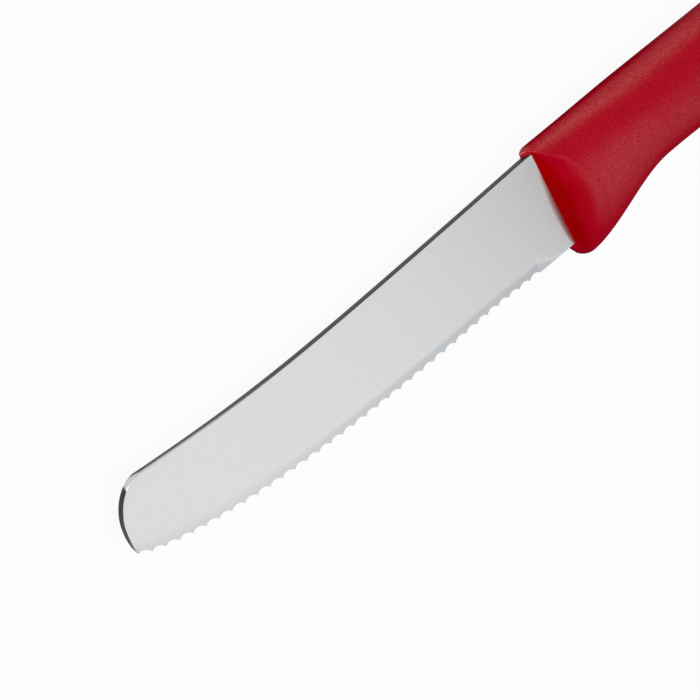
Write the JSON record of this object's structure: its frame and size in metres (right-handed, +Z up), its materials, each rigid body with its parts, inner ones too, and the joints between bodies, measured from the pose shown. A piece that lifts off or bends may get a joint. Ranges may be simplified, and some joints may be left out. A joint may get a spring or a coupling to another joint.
{
  "type": "snack knife",
  "caption": "Small table knife with a round-ended steel blade, a scalloped serrated edge and a moulded plastic handle with a guard.",
  "frame": {"origin": "middle of the bounding box on the surface that the knife lies on, with its right side down", "axes": "+X along the knife towards the blade's tip, +Y from the spine towards the edge, +Z up out of the blade's left face"},
  "size_m": [0.2246, 0.0284, 0.014],
  "materials": {
    "blade_steel": "fine satin polish",
    "handle_plastic": "fine spark-eroded grain, smoother on the front facets"
  },
  "bodies": {
    "root": {"blade": "blade_steel", "handle": "handle_plastic"}
  },
  "joints": []
}
